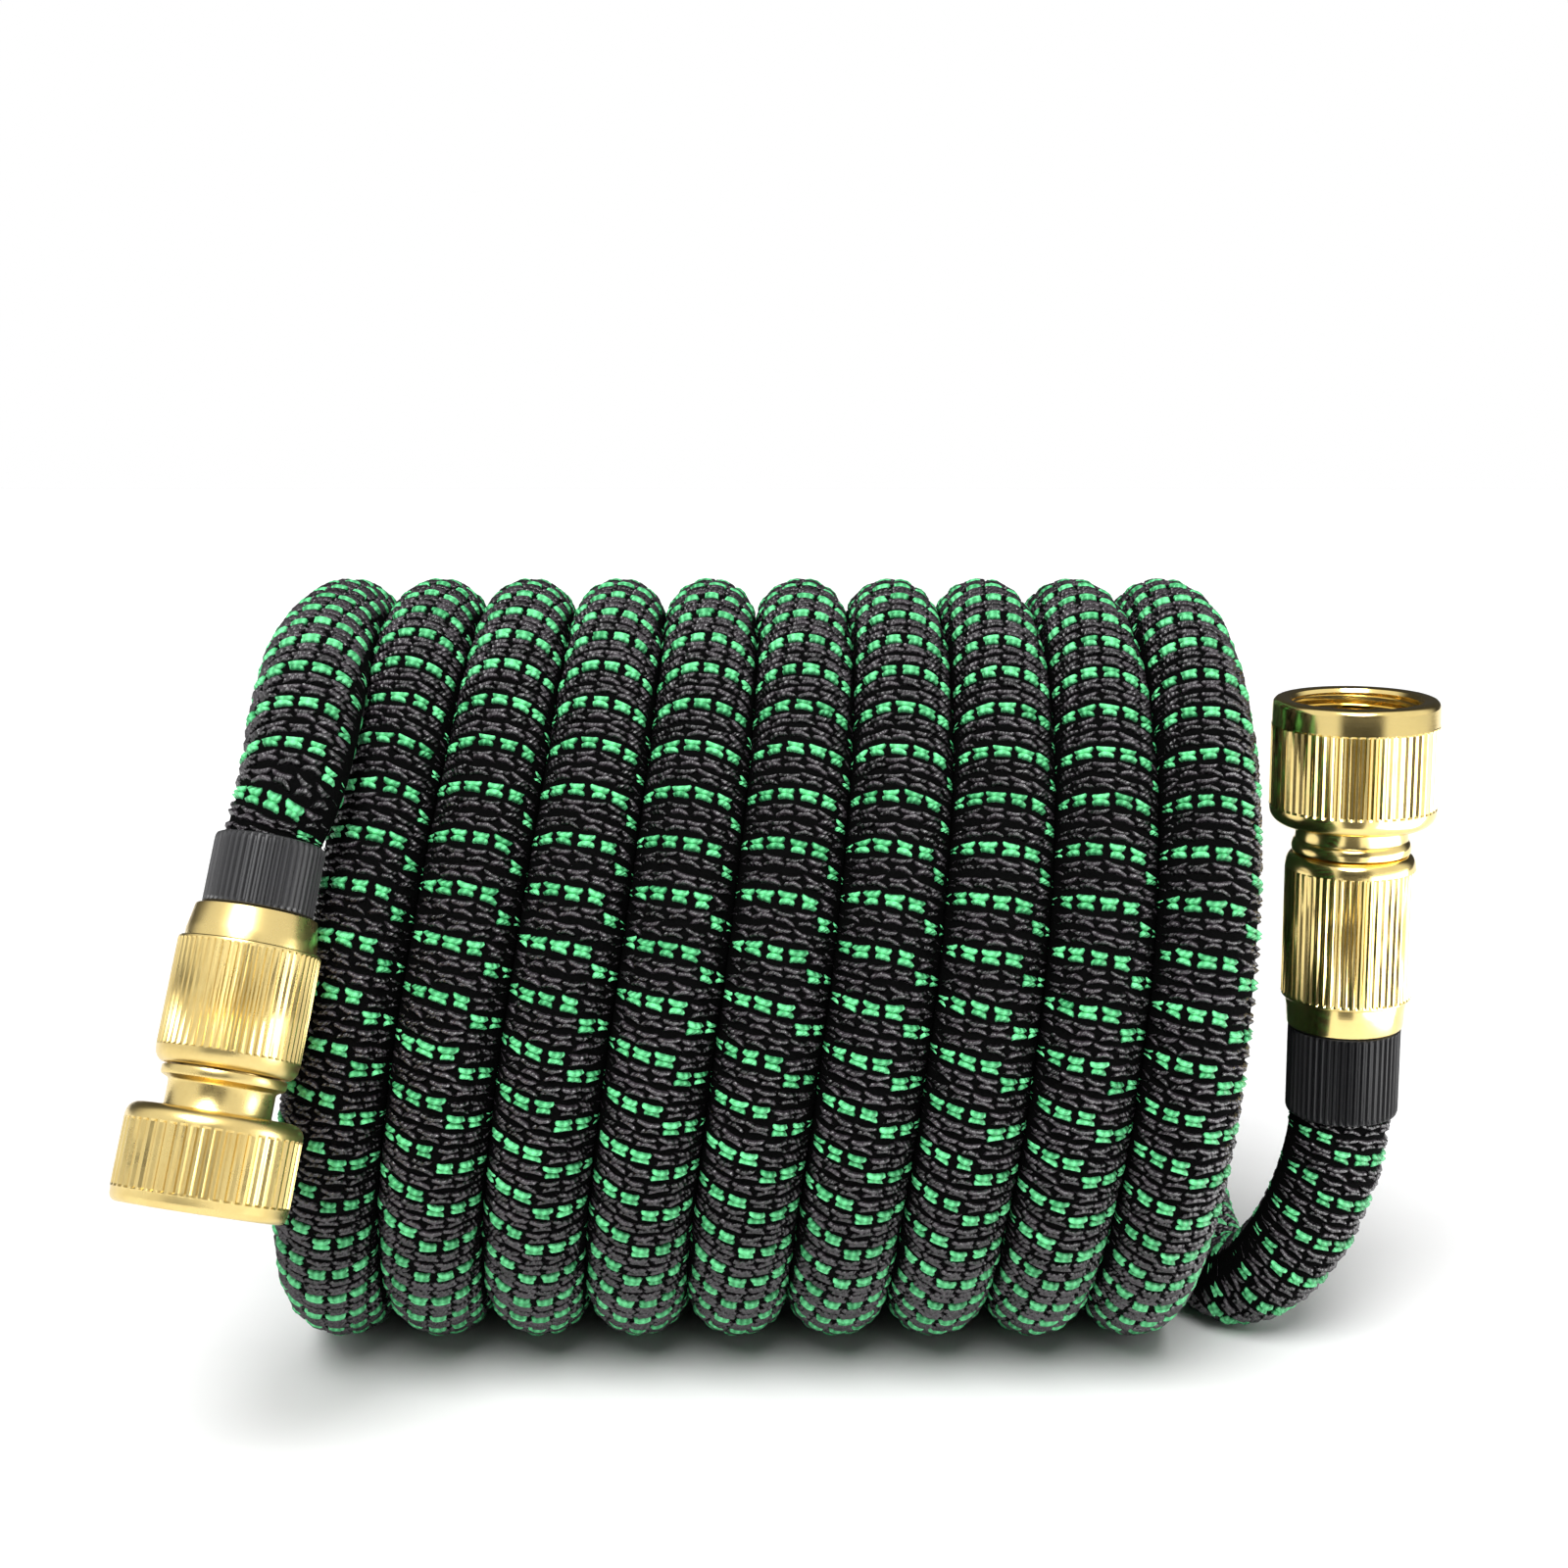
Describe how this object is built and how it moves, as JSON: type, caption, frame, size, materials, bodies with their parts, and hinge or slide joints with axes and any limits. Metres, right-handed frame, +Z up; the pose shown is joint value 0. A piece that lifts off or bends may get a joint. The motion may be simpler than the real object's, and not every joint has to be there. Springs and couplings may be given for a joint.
{
  "type": "garden hose",
  "caption": "Expandable garden hose in a woven cover, coiled, with a brass quick connector and threaded tap adaptor on each end.",
  "frame": {"origin": "middle of the object's box in plan, on the floor that the coil lies on", "axes": "+X along the coil's axis towards end B, +Z up, -Y towards the coil's front, where end A hangs"},
  "size_m": [0.2512, 0.1982, 0.162],
  "materials": {
    "covered_hose": "rubber hose in a black knitted polyester cover with rows of bright green flecks",
    "collar_plastic": "black plastic with fine ribs along it",
    "brass": "turned brass, ribbed grips, satin to polished",
    "washer_rubber": "plain black rubber"
  },
  "bodies": {
    "hose_line": {"hose": "covered_hose", "collar_a": "collar_plastic", "connector_core_a": "brass", "collar_b": "collar_plastic", "connector_core_b": "brass"},
    "sleeve_a": {"connector_sleeve_a": "brass"},
    "adaptor_a": {"tap_adaptor_a": "brass", "sealing_washer_a": "washer_rubber"},
    "sleeve_b": {"connector_sleeve_b": "brass"},
    "adaptor_b": {"tap_adaptor_b": "brass", "sealing_washer_b": "washer_rubber"}
  },
  "joints": [
    {"name": "sleeve_a_slide", "type": "slide", "parent": "hose_line", "child": "sleeve_a", "axis": [0.15, 0.3469, 0.9258], "range_m": [0, 0.004], "stiffness_N_per_m": 600, "springref_m": -0.005},
    {"name": "adaptor_a_turn", "type": "hinge", "parent": "hose_line", "child": "adaptor_a", "pos_m": [-0.10649, -0.07599, 0.07981], "axis": [-0.15, -0.3469, -0.9258], "continuous": true},
    {"name": "sleeve_b_slide", "type": "slide", "parent": "hose_line", "child": "sleeve_b", "axis": [0.012, 0.045, -0.9989], "range_m": [0, 0.004], "stiffness_N_per_m": 600, "springref_m": -0.005},
    {"name": "adaptor_b_turn", "type": "hinge", "parent": "hose_line", "child": "adaptor_b", "pos_m": [0.10912, -0.01729, 0.10967], "axis": [-0.012, -0.045, 0.9989], "continuous": true}
  ]
}
